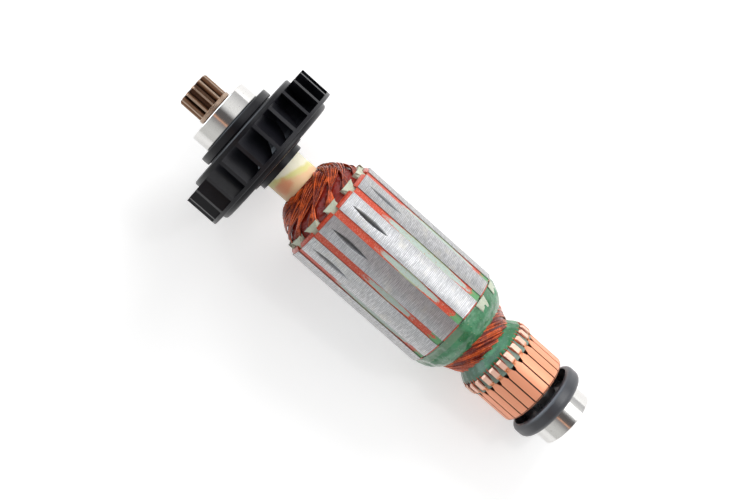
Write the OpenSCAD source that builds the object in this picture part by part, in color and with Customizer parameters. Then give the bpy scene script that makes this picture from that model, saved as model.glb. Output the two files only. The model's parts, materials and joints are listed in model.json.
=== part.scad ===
// Wound armature of a mains-driven hand tool: shaft, laminated core, windings, commutator,
// cooling fan, pinion and two ball bearings. Millimetres. The armature stands on the end face
// of its rear bearing: that face is z = 0, the shaft axis is +Z and the pinion is at the top.

/* [Shaft] */
// Radius of the shaft through the commutator, core, fan and front bearing
shaft_r = 5; // [4.4:0.1:6]
// How much thinner the shaft is under the rear guard ring
shaft_step = 0.5; // [0.2:0.1:0.8]
// Radius of the spigot that carries the pinion
spigot_r = 2.75; // [2:0.05:3]
// How far the rear end of the shaft lies inside the rear bearing's face
shaft_inset = 0.2; // [0.1:0.1:0.6]
// Thickness of the pinion's closed end over the spigot
spigot_cap = 1.2; // [0.8:0.1:2]

/* [Rear bearing] */
// Bore radius, equal to the shaft's rear journal
rear_bore_r = 3.5; // [3:0.1:3.8]
// Outside radius
rear_od_r = 9.5; // [9:0.1:10.5]
// Width
rear_w = 6; // [5.6:0.1:8]
// Ball radius
rear_ball_r = 1.75; // [1.5:0.05:1.85]
// Number of balls
rear_balls = 7; // [5:1:8]

/* [Front bearing] */
// Outside radius
front_od_r = 11; // [10.5:0.1:12.5]
// Width
front_w = 6; // [5.6:0.1:8]
// Ball radius
front_ball_r = 1.6; // [1.4:0.05:1.75]
// Number of balls
front_balls = 9; // [6:1:10]

/* [Bearing details] */
// Clearance between a ball and its raceways
ball_clear = 0.04; // [0.02:0.01:0.1]
// Clearance between a ball and its cage pocket
pocket_clear = 0.1; // [0.05:0.05:0.2]
// Thickness of a shield
shield_t = 0.3; // [0.2:0.05:0.4]
// How far a shield lies inside the bearing's face
shield_inset = 0.3; // [0.2:0.05:0.4]
// Gap between a shield's bore and the inner ring
shield_gap = 0.15; // [0.1:0.05:0.3]
// Corner radius of the rings
ring_edge_r = 0.4; // [0.3:0.1:0.8]

/* [Rear guard ring] */
// Outside radius
guard_r = 12.9; // [11:0.1:15]
// Height
guard_h = 5.4; // [4.5:0.1:8]
// Wall around the recess that faces the commutator
guard_wall = 1.7; // [1:0.1:2.5]
// Thickness of the floor of the recess
guard_floor = 1.6; // [1:0.1:2.5]
// Height of the hub round the shaft, above that floor
guard_hub = 0.8; // [0.4:0.1:1.8]
// Number of lugs inside the recess
guard_lugs = 8; // [4:1:12]
// Gap from the guard ring to the commutator
guard_gap = 2.45; // [1:0.1:5]

/* [Commutator] */
// Number of bars
bars = 24; // [24]
// Radius of the brush track
track_r = 12.35; // [11.5:0.05:15]
// How far the hooks stand proud of the brush track
hook_rise = 0.8; // [0.4:0.05:1.5]
// Length of a bar
bar_len = 17.75; // [15:0.25:24]
// Depth of the copper below the brush track
bar_depth = 2.7; // [2:0.1:3.2]
// Gap between two bars, at the brush track
bar_gap = 0.45; // [0.3:0.05:0.8]
// Depth of the undercut between two bars
undercut = 0.55; // [0.3:0.05:1]
// Length of the hook at the core end of a bar
hook_len = 3.7; // [2.5:0.1:5]
// Width of the hook
hook_w = 1.6; // [1.3:0.1:2.2]
// Length of the notch where a bar narrows to its hook
notch_len = 1.5; // [0.8:0.1:2.5]
// Depth of the pit in that notch
pit_depth = 1.4; // [0.8:0.1:1.8]
// How far the moulding between the hooks stands proud of the brush track
fill_rise = 0.15; // [0:0.05:0.3]
// How far the moulding stands out under the leads
lip_len = 1.2; // [0.8:0.1:1.6]
// Wall of the moulding there, round the insulating sleeve
lip_wall = 1.6; // [1.2:0.1:1.7]
// How far the moulding stands out at the guard ring's end
moulding_foot = 0.8; // [0.4:0.1:1]

/* [Core] */
// Outside radius of the laminations
core_r = 17.6; // [16.5:0.1:21.5]
// Length of the stack
core_len = 48.8; // [30:0.2:80]
// Number of slots
slots = 12; // [12]
// Width of a slot's mouth
mouth_w = 2.3; // [1.8:0.1:3]
// Thickness of the tooth tips beside the mouth
tip_t = 1.1; // [0.8:0.1:1.6]
// Width of a slot below the tooth tips
slot_w = 5; // [4:0.1:5.2]
// Width of a slot at its root
slot_root_w = 2.4; // [2:0.1:2.8]
// Radius of the circle on which the slot roots lie
slot_root_r = 9.6; // [9:0.1:10.5]
// Number of balance grooves
grooves = 4; // [0:1:8]
// Length of a balance groove
groove_len = 15; // [8:0.5:16]
// Width of a balance groove
groove_w = 1.9; // [1:0.1:2.4]
// Distance of the grooves' middles from the fan end of the core
groove_from_end = 9.2; // [8:0.1:14]

/* [Slot insulation] */
// Thickness of the red coating inside the slots
coat_t = 0.3; // [0.2:0.05:0.4]
// Thickness of the coating on the fan end of the core
coat_front = 1.2; // [0.6:0.1:2.4]
// Thickness of the coating on the commutator end
coat_rear = 0.7; // [0.6:0.1:2.4]
// How far the coating's rim lies below the core's outside
coat_step = 0.5; // [0.2:0.1:1]
// Thickness of the slot liner paper
liner_t = 0.25; // [0.2:0.05:0.35]
// How far the liners stand out of the core at the fan end
liner_front = 2.9; // [2.5:0.1:4]
// How far they stand out at the commutator end
liner_rear = 2.6; // [2:0.1:3.5]
// Length of the flared cuff at the fan end of a liner, from the coating
cuff_len = 1.7; // [1.2:0.1:3]
// Width of the cuff at its free end
cuff_w = 5.2; // [4.6:0.1:6]
// How far a slot wedge lies below the core's outside
wedge_sink = 0.35; // [0.2:0.05:0.8]

/* [Windings] */
// Length of the fan end head, from the core
head_len = 12.7; // [9:0.1:18]
// How far that head lies below the outside of the core
head_in = 2.6; // [1.4:0.1:3.4]
// How far the commutator end head lies below it
rear_head_in = 3; // [2:0.1:3.4]
// Length of the resin collar over the commutator end head, from the core
collar_len = 7.9; // [5:0.1:9]
// How far the resin collar lies below the outside of the core
collar_in = 1.2; // [0.6:0.1:1.8]
// Length of the band of leads, from the collar to the resin neck
leads_len = 5.7; // [4:0.1:12]
// Greatest radius of the leads, beside the collar
leads_r = 12.7; // [11.5:0.1:13.5]
// Radius of the waist of the leads
waist_r = 10.3; // [9.6:0.1:11]
// Length of the resin neck beside the commutator
neck_len = 3.8; // [3:0.1:8]
// How far the resin neck lies below the tops of the hooks
neck_in = 0.55; // [0.2:0.05:1]

/* [Sleeve] */
// Wall of the insulating sleeve under the core
sleeve_core_wall = 1.4; // [1:0.1:1.7]
// Wall of the sleeve at the fan end
sleeve_wall = 1.8; // [1.7:0.1:2.4]
// Length of the sleeve between the head and the fan
sleeve_len = 6.8; // [3:0.1:15]

/* [Fan] */
// Outside radius
fan_r = 26.05; // [24:0.05:34]
// Number of blades
blades = 23; // [15:1:27]
// Thickness of a blade
blade_t = 0.9; // [0.7:0.1:1.4]
// Angle between a blade and the radius through its tip
blade_lean = 37; // [0:1:40]
// Length of a blade's tip
blade_h = 9.8; // [7:0.1:14]
// How far the front flange lies inside the blade tips
flange_in = 5.35; // [4.2:0.05:6]
// Thickness of the front flange
flange_t = 1.7; // [1:0.1:3]
// Thickness of the rear plate's rim
rim_t = 1.2; // [0.6:0.1:1.5]
// Height of the raised step behind that rim
dish = 1.6; // [1:0.1:3]
// How far the raised step lies inside the blade tips
dish_in = 3.5; // [2:0.1:5]
// Depth of the channels between the blades, from the blade tips
channel_depth = 6.65; // [6.3:0.05:7.2]
// Wall thickness behind the channels
fan_wall = 1.9; // [1.5:0.1:2.2]
// Radius of the wide step of the hub
hub_r = 10.1; // [9:0.1:11]
// Length of the wide step behind the dished plate
hub_step = 0.7; // [0.4:0.1:2]
// Radius of the narrow step of the hub
boss_r = 8.3; // [7.5:0.1:8.9]
// Length of the narrow step
boss_len = 1.7; // [1:0.1:4]
// How far the seat for the dust ring lies inside the ring's outside
seat_in = 1; // [0.6:0.1:2]

/* [Dust ring] */
// Outside radius
dust_r = 14; // [12:0.1:18]
// Thickness
dust_t = 2.75; // [2:0.05:4]
// Gap between the fan and the ring, outside the ring's seat
dust_gap = 0.45; // [0.2:0.05:0.8]
// Gap between the ring and the bearing's outer ring
dust_clear = 0.1; // [0.1:0.05:0.6]

/* [Pinion] */
// Number of teeth
teeth = 12; // [10:1:14]
// Radius over the teeth
tip_r = 5.65; // [5.4:0.05:6.5]
// Length of the teeth
teeth_len = 8; // [5:0.5:16]
// Radius of the collar
collar_rim_r = 5.95; // [5.7:0.05:6.4]
// Thickness of the collar
collar_t = 1.5; // [1:0.1:3]
// Step between the bearing and the collar
collar_gap = 0.3; // [0.2:0.1:0.6]

/* [Hidden] */
$fn = 96;
function bar_name(i) = str("commutator_bar_", i < 10 ? "0" : "", i);

// Heights of the stack, from the rear bearing's face upwards
z_guard = rear_w;
z_bars = z_guard + guard_h + guard_gap;
z_neck = z_bars + bar_len;
z_leads = z_neck + neck_len;
z_collar = z_leads + leads_len;
z_core = z_collar + collar_len;
z_core_top = z_core + core_len;
z_sleeve = z_core_top + head_len;
z_boss = z_sleeve + sleeve_len;
z_hub = z_boss + boss_len;
z_dish = z_hub + hub_step;
z_rim = z_dish + dish;
z_blades = z_rim + rim_t;
z_flange = z_blades + blade_h;
z_fan_top = z_flange + flange_t;
z_dust = z_fan_top + dust_gap;
z_front = z_dust + dust_t + dust_clear;
z_pinion = z_front + front_w;
z_teeth = z_pinion + collar_gap + collar_t;
z_top = z_teeth + teeth_len;

// Where the repeated features lie round the axis, in degrees from +X
slot_phase = 3;
bar_phase = 12;
fan_phase = 90;
tooth_phase = 4.3;

slot_pitch = 360 / slots;
bar_pitch = 360 / bars;
gap_angle = 2 * asin(bar_gap / 2 / track_r);
bar_in_r = track_r - bar_depth;
hook_r = track_r + hook_rise;
neck_r = hook_r - neck_in;
z_moulding = z_bars - moulding_foot;
z_hook = z_neck - hook_len;
z_notch = z_hook - notch_len - 0.8;
z_lip = z_neck + lip_len;
shaft_step_r = shaft_r - shaft_step;
sleeve_core_r = shaft_r + sleeve_core_wall;
sleeve_r = shaft_r + sleeve_wall;
lip_r = sleeve_core_r + lip_wall;
head_r = core_r - head_in;
rear_head_r = core_r - rear_head_in;
collar_r = core_r - collar_in;
flange_r = fan_r - flange_in;
floor_r = fan_r - channel_depth;
// Depth in the slot at which its sides start, under the tooth tips
slot_top_r = core_r - tip_t;
// How far the wire in the slots stands out of the liners
fill_out = 0.1;
// Both bearings, as [bore radius, outside radius, width, ball radius, number of balls]
front_bearing = [shaft_r, front_od_r, front_w, front_ball_r, front_balls];
rear_bearing = [rear_bore_r, rear_od_r, rear_w, rear_ball_r, rear_balls];

// Points of an arc, from angle a to angle b in n steps
function arc(x, y, r, a, b, n = 4) =
    [for (i = [0:n]) [x + r * cos(a + (b - a) * i / n), y + r * sin(a + (b - a) * i / n)]];

// A smooth line through the given points, with n steps between two of them
function smooth_at(p, i, t) =
    let (a = p[max(i - 1, 0)], b = p[i], c = p[i + 1], d = p[min(i + 2, len(p) - 1)])
    0.5 * (2 * b + t * (c - a) + t * t * (2 * a - 5 * b + 4 * c - d)
        + t * t * t * (3 * b - a - 3 * c + d));
function smooth(p, n = 3) =
    concat([for (i = [0:len(p) - 2], k = [0:n - 1]) smooth_at(p, i, k / n)], [p[len(p) - 1]]);

// ---------------------------------------------------------------- shaft and sleeve

module shaft() {
    chamfer = 0.4;
    spigot_top = z_top - spigot_cap;
    z_step = z_moulding - chamfer;
    color("silver") rotate_extrude() polygon([
        [0, shaft_inset], [rear_bore_r - chamfer, shaft_inset],
        [rear_bore_r, shaft_inset + chamfer], [rear_bore_r, rear_w],
        [shaft_step_r, rear_w], [shaft_step_r, z_step], [shaft_r, z_step],
        [shaft_r, z_pinion], [spigot_r, z_pinion],
        [spigot_r, spigot_top - chamfer], [spigot_r - chamfer, spigot_top], [0, spigot_top]]);
}

// Tube that insulates the core from the shaft, thicker where the head is wound over it
module insulating_sleeve() {
    color("ivory") rotate_extrude() polygon([
        [shaft_r, z_lip], [sleeve_core_r, z_lip],
        [sleeve_core_r, z_core_top + coat_front], [sleeve_r, z_core_top + coat_front],
        [sleeve_r, z_boss], [shaft_r, z_boss]]);
}

// ---------------------------------------------------------------- pinion

// A point of the involute of a circle of radius r, at roll angle t
function involute(r, t) = r * [cos(t) + t * PI / 180 * sin(t), sin(t) - t * PI / 180 * cos(t)];
function turned(p, a) = [p[0] * cos(a) - p[1] * sin(a), p[0] * sin(a) + p[1] * cos(a)];

module pinion() {
    pressure = 20;
    mod = 2 * tip_r / (teeth + 2);
    base_r = mod * teeth / 2 * cos(pressure);
    root_r = tip_r - 2.25 * mod;
    tip_roll = sqrt(pow(tip_r / base_r, 2) - 1) * 180 / PI;
    // Half the tooth's angle at the base circle
    base_half = 90 / teeth + (tan(pressure) * 180 / PI - pressure);
    flank = [for (i = [0:4]) turned(involute(base_r, tip_roll * i / 4), -base_half)];
    tooth = concat([[root_r * cos(base_half), -root_r * sin(base_half)]], flank,
        [for (i = [4:-1:0]) [flank[i][0], -flank[i][1]]],
        [[root_r * cos(base_half), root_r * sin(base_half)]]);
    bevel = 0.5;
    color("saddlebrown") difference() {
        union() {
            intersection() {
                translate([0, 0, z_teeth - 0.2]) linear_extrude(teeth_len + 0.2)
                    polygon([for (k = [0:teeth - 1], p = tooth)
                        turned(p, tooth_phase + k * 360 / teeth)]);
                rotate_extrude() polygon([[0, z_teeth - 1], [tip_r + 1, z_teeth - 1],
                    [tip_r + 1, z_top - bevel - 1], [tip_r - bevel, z_top], [0, z_top]]);
            }
            rotate_extrude() polygon([[0, z_pinion],
                [collar_rim_r - 0.5, z_pinion], [collar_rim_r - 0.5, z_pinion + collar_gap],
                [collar_rim_r, z_pinion + collar_gap + 0.25],
                [collar_rim_r, z_teeth - 0.25], [collar_rim_r - 0.4, z_teeth], [0, z_teeth]]);
        }
        translate([0, 0, z_pinion - 1]) cylinder(r = spigot_r, h = z_top - spigot_cap - z_pinion + 1);
    }
}

// ---------------------------------------------------------------- fan and dust ring

// Half section of the fan's body: hub, dished rear plate, channel floor and front flange
module fan_section() {
    back_in = hub_r + 1.4;
    back_out = floor_r - fan_wall;
    back_top = z_flange - fan_wall - 2;
    valley = [floor_r, z_blades + 0.6 * blade_h];
    root = [floor_r + 3.2, z_blades];
    dish_r = fan_r - dish_in;
    round_r = dish * 0.7;
    polygon(concat(
        [[shaft_r, z_boss], [boss_r, z_boss], [boss_r, z_hub], [hub_r, z_hub], [hub_r, z_dish],
            [back_in, z_dish], [back_in, back_top - 1.5], [back_in + 1.5, back_top],
            [back_out - 1.5, back_top], [back_out, back_top - 1.5], [back_out, z_dish]],
        arc(dish_r - round_r, z_dish + round_r, round_r, -90, 0),
        [[dish_r, z_rim], [fan_r - 0.2, z_rim], [fan_r, z_rim + 0.2], [fan_r, z_blades], root],
        [for (t = [0.25:0.25:0.75]) [
            root[0] + (valley[0] - root[0]) * t,
            root[1] + (valley[1] - root[1]) * pow(t, 2)]],
        [valley, [flange_r, z_flange], [flange_r, z_fan_top - 0.4],
            [flange_r - 0.4, z_fan_top], [dust_r - seat_in, z_fan_top],
            [dust_r - seat_in, z_dust], [shaft_r, z_dust]]));
}

module fan() {
    foot_r = floor_r - 0.6;
    reach = fan_r * cos(blade_lean) - sqrt(pow(foot_r, 2) - pow(fan_r * sin(blade_lean), 2));
    color("dimgray") union() {
        rotate_extrude() fan_section();
        intersection() {
            translate([0, 0, z_blades - 0.2]) linear_extrude(blade_h + 0.2)
                for (k = [0:blades - 1])
                    rotate(fan_phase + k * 360 / blades) translate([fan_r, 0])
                        rotate(-blade_lean) translate([-reach, -blade_t / 2])
                            square([reach + 2, blade_t]);
            cylinder(r = fan_r, h = z_top);
        }
    }
}

module dust_ring() {
    edge = 0.25;
    seat_r = shaft_r + 1.3;
    top = z_dust + dust_t;
    color("dimgray") rotate_extrude() polygon([
        [shaft_r, z_dust], [dust_r - edge, z_dust], [dust_r, z_dust + edge],
        [dust_r, top - edge], [dust_r - edge, top], [seat_r, top], [seat_r, z_front],
        [shaft_r, z_front]]);
}

// ---------------------------------------------------------------- core and insulation

// One slot, pointing along +X, with its walls set in by the given amount
module slot_shape(inset) {
    top = slot_top_r - inset;
    w = slot_w / 2 - inset;
    w_root = slot_root_w / 2 - inset;
    corner = 0.8;
    root_x = slot_root_r + slot_root_w / 2;
    polygon([[root_x, -w_root], [top - 2.4 * corner, -w], [top - corner, -w],
        [top, -w + corner], [top, w - corner], [top - corner, w], [top - 2.4 * corner, w],
        [root_x, w_root]]);
    translate([root_x, 0]) circle(r = w_root);
}

// Runs its children at every slot
module each_slot() {
    for (k = [0:slots - 1]) rotate(slot_phase + k * slot_pitch) children();
}

module lamination_shape() {
    difference() {
        circle(r = core_r);
        circle(r = sleeve_core_r);
        each_slot() {
            slot_shape(0);
            translate([slot_top_r - 0.5, -mouth_w / 2]) square([tip_t + 2, mouth_w]);
        }
    }
}

// A disc cutter with a V rim leaves a lens-shaped groove, which is shorter where it cuts less
module balance_groove(depth) {
    full = groove_w / 2;
    cutter_r = (pow(groove_len / 2, 2) + pow(full, 2)) / (2 * full);
    rim = cutter_r / 4;
    translate([core_r - depth + cutter_r, 0, 0]) rotate([90, 0, 0]) rotate_extrude()
        polygon([[0, -rim], [cutter_r - rim, -rim], [cutter_r, 0], [cutter_r - rim, rim],
            [0, rim]]);
}

module lamination_core() {
    // The grooves lie on neighbouring teeth, and the second is cut deepest
    first_tooth = slot_phase + slot_pitch * 7.5;
    color("lightgray") difference() {
        translate([0, 0, z_core]) linear_extrude(core_len) lamination_shape();
        if (grooves > 0) for (k = [0:grooves - 1])
            rotate([0, 0, first_tooth + k * slot_pitch])
                translate([0, 0, z_core_top - groove_from_end])
                    balance_groove(groove_w / 2 * (1 - 0.12 * min(abs(k - 1), 4)));
    }
}

// Coating that covers both ends of the core and lines its slots in one skin
module core_coating() {
    rim_r = core_r - coat_step;
    // A plate of thickness t on the core, with its rim bevelled away from the core
    module end_plate(t) {
        bevel = min(0.7, t / 2);
        intersection() {
            linear_extrude(t) difference() {
                circle(r = rim_r);
                circle(r = sleeve_core_r);
                each_slot() {
                    slot_shape(coat_t);
                    translate([slot_top_r - 0.5, -mouth_w / 2]) square([tip_t + 2, mouth_w]);
                }
            }
            rotate_extrude() polygon([[0, -1], [rim_r + 1, -1], [rim_r + 1, t - bevel],
                [rim_r, t - bevel], [rim_r - bevel, t], [0, t]]);
        }
    }
    color("indianred") union() {
        translate([0, 0, z_core_top]) end_plate(coat_front);
        translate([0, 0, z_core]) mirror([0, 0, 1]) end_plate(coat_rear);
        translate([0, 0, z_core]) linear_extrude(core_len) each_slot() difference() {
            slot_shape(0);
            slot_shape(coat_t);
        }
    }
}

// Folded paper in every slot, with a flared cuff under its mouth at the fan end
module slot_liners() {
    cuff_z = z_core_top + coat_front;
    cuff_r = slot_top_r - coat_t;
    root_w = slot_w - 2 * coat_t - 1.6;
    color("palegoldenrod") union() {
        translate([0, 0, z_core - liner_rear])
            linear_extrude(core_len + liner_front + liner_rear) each_slot() difference() {
                slot_shape(coat_t);
                slot_shape(coat_t + liner_t);
            }
        for (k = [0:slots - 1]) rotate([0, 0, slot_phase + k * slot_pitch])
            translate([cuff_r - liner_t, 0, 0]) rotate([0, 90, 0]) linear_extrude(liner_t)
                polygon([[-cuff_z, -root_w / 2], [-cuff_z - 0.7 * cuff_len, -0.42 * cuff_w],
                    [-cuff_z - cuff_len, -cuff_w / 2], [-cuff_z - cuff_len, cuff_w / 2],
                    [-cuff_z - 0.7 * cuff_len, 0.42 * cuff_w], [-cuff_z, root_w / 2]]);
    }
}

// Strips that close the slots' mouths
module slot_wedges() {
    color("honeydew") translate([0, 0, z_core]) linear_extrude(core_len) each_slot()
        translate([slot_top_r, -mouth_w / 2]) square([tip_t - wedge_sink, mouth_w]);
}

// ---------------------------------------------------------------- windings and resin

// Outline of the head at the fan end, from beside the core to the sleeve
function head_line() = let (z0 = z_core_top + liner_front, h = z_sleeve - z0) smooth([
    [head_r, z0], [head_r - 0.7, z0 + 0.2 * h], [head_r - 2.9, z0 + 0.6 * h],
    [(head_r + sleeve_r) / 2 - 0.4, z0 + 0.86 * h], [sleeve_r + 0.6, z_sleeve]]);

// Outline of the head at the commutator end, from the collar's end to the core
function rear_head_line() = smooth([
    [leads_r - 0.6, z_collar], [leads_r + 0.3, z_collar + 0.3 * collar_len],
    [rear_head_r, z_core - liner_rear]]);

module winding() {
    color("sienna") union() {
        translate([0, 0, z_core - liner_rear - fill_out])
            linear_extrude(core_len + liner_front + liner_rear + 2 * fill_out)
                each_slot() slot_shape(coat_t + liner_t);
        rotate_extrude() polygon(concat([[sleeve_r, z_core_top + liner_front]],
            head_line(), [[sleeve_r, z_sleeve]]));
        rotate_extrude() polygon(concat([[sleeve_core_r, z_collar]], rear_head_line(),
            [[sleeve_core_r, z_core - liner_rear]]));
    }
}

// Outline of the leads between the collar and the neck, from the neck upwards
function leads_line() = smooth([
    [waist_r - 0.5, z_lip], [waist_r, z_leads], [waist_r + 0.3, z_leads + 0.2 * leads_len],
    [leads_r - 0.5, z_leads + 0.7 * leads_len], [leads_r, z_collar]]);

module commutator_leads() {
    color("sienna") rotate_extrude() polygon(concat([[sleeve_core_r, z_lip]],
        leads_line(), [[sleeve_core_r, z_collar]]));
}

// Resin over the commutator end head
module resin_collar() {
    outline = smooth([[leads_r, z_collar], [leads_r + 1.6, z_collar + 0.2 * collar_len],
        [collar_r - 0.9, z_collar + 0.55 * collar_len], [collar_r, z_core - coat_rear]]);
    color("seagreen") difference() {
        rotate_extrude() polygon(concat(rear_head_line(),
            [[sleeve_core_r, z_core - liner_rear], [sleeve_core_r, z_core - coat_rear]],
            [for (i = [len(outline) - 1:-1:0]) outline[i]]));
        translate([0, 0, z_core - liner_rear]) linear_extrude(liner_rear)
            each_slot() slot_shape(coat_t);
        translate([0, 0, z_core - liner_rear - fill_out]) linear_extrude(liner_rear)
            each_slot() slot_shape(coat_t + liner_t);
    }
}

// Resin round the leads beside the commutator's hooks
module resin_neck() {
    inner = [for (i = [0:3]) leads_line()[i]];
    outer = smooth([[neck_r, z_neck], [neck_r - 0.5, z_neck + 0.3 * neck_len],
        [waist_r + 0.6, z_neck + 0.8 * neck_len], [waist_r, z_leads]]);
    color("seagreen") rotate_extrude() polygon(concat(
        [[lip_r, z_neck], [lip_r, z_lip]],
        inner, [for (i = [len(outer) - 1:-1:0]) outer[i]]));
}

// ---------------------------------------------------------------- commutator

// Half section of a bar: brush track with a rounded end, and the raised hook
module bar_section() {
    end_round = 1.4;
    polygon(concat([[bar_in_r, z_bars + 0.4]],
        arc(track_r - end_round, z_bars + end_round, end_round, -90, 0, 5),
        [[track_r, z_hook - 0.4], [hook_r - 0.2, z_hook], [hook_r, z_hook + 0.4],
            [hook_r, z_neck - 0.6], [hook_r - 0.6, z_neck], [bar_in_r, z_neck]]));
}

module commutator_bar(i) {
    wide = track_r;
    color("darksalmon") rotate([0, 0, bar_phase + (i - 1) * bar_pitch]) intersection() {
        rotate([0, 0, -bar_pitch / 2 + gap_angle / 2])
            rotate_extrude(angle = bar_pitch - gap_angle) bar_section();
        rotate([0, 90, 0]) linear_extrude(hook_r + 1) polygon([
            [-z_bars + 1, -wide], [-z_notch, -wide], [-z_notch, -hook_w / 2 - 0.45],
            [-z_notch - notch_len, -hook_w / 2], [-z_neck - 1, -hook_w / 2],
            [-z_neck - 1, hook_w / 2], [-z_notch - notch_len, hook_w / 2],
            [-z_notch, hook_w / 2 + 0.45], [-z_notch, wide], [-z_bars + 1, wide]]);
    }
}

// Moulded body that holds the bars. Its ribs between the bars are undercut along the brush
// track; beyond the notch, where there is a pit, it is full between the hooks
module commutator_moulding() {
    rib_r = track_r - undercut;
    pit_r = track_r - pit_depth;
    z_fill = z_notch + notch_len;
    color("darkolivegreen") union() {
        rotate_extrude() polygon([
            [shaft_r, z_moulding], [bar_in_r - 1.2, z_moulding], [bar_in_r, z_bars + 0.2],
            [bar_in_r, z_neck], [lip_r, z_neck], [lip_r, z_lip], [shaft_r, z_lip]]);
        for (k = [0:bars - 1])
            rotate([0, 0, bar_phase + (k + 0.5) * bar_pitch - gap_angle / 2])
                rotate_extrude(angle = gap_angle) polygon([
                    [bar_in_r - 0.2, z_bars + 0.8], [rib_r, z_bars + 0.8], [rib_r, z_notch],
                    [pit_r, z_notch + 0.3], [pit_r, z_fill + 0.1],
                    [bar_in_r - 0.2, z_fill + 0.1]]);
        translate([0, 0, z_fill]) linear_extrude(z_neck - z_fill) difference() {
            circle(r = track_r + fill_rise);
            circle(r = bar_in_r - 0.2);
            for (k = [0:bars - 1]) rotate(bar_phase + k * bar_pitch)
                translate([bar_in_r, -hook_w / 2]) square([bar_depth + 1, hook_w]);
        }
    }
}

// Guard ring between the commutator and the rear bearing, with its recess to the commutator
module guard_ring() {
    top = z_guard + guard_h;
    base = z_guard + 0.2;
    inner_r = guard_r - guard_wall;
    hub = shaft_step_r + 1.6;
    rear_round = 2;
    front_round = 0.85 * guard_wall;
    color("dimgray") union() {
        rotate_extrude() polygon(concat(
            [[shaft_step_r, z_guard], [shaft_step_r + 0.4, z_guard], [shaft_step_r + 0.4, base]],
            arc(guard_r - rear_round, base + rear_round, rear_round, -90, 0, 5),
            arc(guard_r - front_round, top - front_round, front_round, 0, 90, 5),
            [[inner_r, top], [inner_r, base + guard_floor], [hub, base + guard_floor],
                [hub, base + guard_floor + guard_hub],
                [shaft_step_r, base + guard_floor + guard_hub]]));
        for (k = [0:guard_lugs - 1]) rotate([0, 0, k * 360 / guard_lugs])
            translate([inner_r - 1, -0.5, base + guard_floor - 0.2])
                cube([1.4, 1, guard_h - guard_floor - 1.4]);
    }
}

// ---------------------------------------------------------------- bearings

function pitch_r(b) = (b[0] + b[1]) / 2;
// Radii of the shoulders beside the raceways
function inner_land(b) = pitch_r(b) - 0.64 * b[3];
function outer_land(b) = pitch_r(b) + 0.64 * b[3];
function shield_rim(b) = outer_land(b) + 0.35;

module raceway(b) {
    translate([pitch_r(b), b[2] / 2]) circle(r = b[3] + ball_clear);
}

module outer_ring(b) {
    seat = shield_inset + shield_t;
    color("silver") rotate_extrude() difference() {
        polygon(concat([[outer_land(b), seat], [shield_rim(b), seat], [shield_rim(b), 0]],
            arc(b[1] - ring_edge_r, ring_edge_r, ring_edge_r, -90, 0),
            arc(b[1] - ring_edge_r, b[2] - ring_edge_r, ring_edge_r, 0, 90),
            [[shield_rim(b), b[2]], [shield_rim(b), b[2] - seat],
                [outer_land(b), b[2] - seat]]));
        raceway(b);
    }
}

module inner_ring(b) {
    edge = 0.3;
    inset = 0.1;
    color("silver") rotate_extrude() difference() {
        polygon([[b[0], inset], [inner_land(b) - edge, inset], [inner_land(b), inset + edge],
            [inner_land(b), b[2] - edge], [inner_land(b) - edge, b[2]], [b[0], b[2]]]);
        raceway(b);
    }
}

module ball_set(b) {
    color("gainsboro") for (k = [0:b[4] - 1]) rotate([0, 0, k * 360 / b[4]])
        translate([pitch_r(b), 0, b[2] / 2]) sphere(r = b[3]);
}

// Crown cage: a ring on one side of the balls, with a pocket for each
module cage(b) {
    half_w = 0.38 * b[3];
    top = b[2] - shield_inset - shield_t - 0.15;
    color("peru") difference() {
        translate([0, 0, b[2] / 2 - 0.4 * b[3]]) difference() {
            cylinder(r = pitch_r(b) + half_w, h = top - b[2] / 2 + 0.4 * b[3]);
            translate([0, 0, -1]) cylinder(r = pitch_r(b) - half_w, h = b[2]);
        }
        for (k = [0:b[4] - 1]) rotate([0, 0, k * 360 / b[4]])
            translate([pitch_r(b), 0, b[2] / 2]) sphere(r = b[3] + pocket_clear);
    }
}

module shield(b, upper) {
    z = upper ? b[2] - shield_inset - shield_t : shield_inset;
    color("silver") translate([0, 0, z]) difference() {
        cylinder(r = shield_rim(b), h = shield_t);
        translate([0, 0, -1]) cylinder(r = inner_land(b) + shield_gap, h = shield_t + 2);
    }
}

module on_front() {
    translate([0, 0, z_front]) children();
}

// ---------------------------------------------------------------- nodes

shaft();
pinion();
fan();
dust_ring();
insulating_sleeve();
lamination_core();
core_coating();
slot_liners();
slot_wedges();
winding();
commutator_leads();
resin_collar();
resin_neck();
commutator_moulding();
guard_ring();
on_front() outer_ring(front_bearing);  // front_outer_ring
on_front() inner_ring(front_bearing);  // front_inner_ring
on_front() ball_set(front_bearing);  // front_balls
on_front() cage(front_bearing);  // front_cage
on_front() shield(front_bearing, true);  // front_shield_upper
on_front() shield(front_bearing, false);  // front_shield_lower
outer_ring(rear_bearing);  // rear_outer_ring
inner_ring(rear_bearing);  // rear_inner_ring
ball_set(rear_bearing);  // rear_balls
cage(rear_bearing);  // rear_cage
shield(rear_bearing, true);  // rear_shield_upper
shield(rear_bearing, false);  // rear_shield_lower
for (i = [1:bars]) commutator_bar(i);
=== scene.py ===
"""Looks of the motor armature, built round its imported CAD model. Metres, in the CAD frame."""

import json
import math
import random

import bmesh
import bpy
import numpy as np
from mathutils import Matrix, Vector, noise


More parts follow.
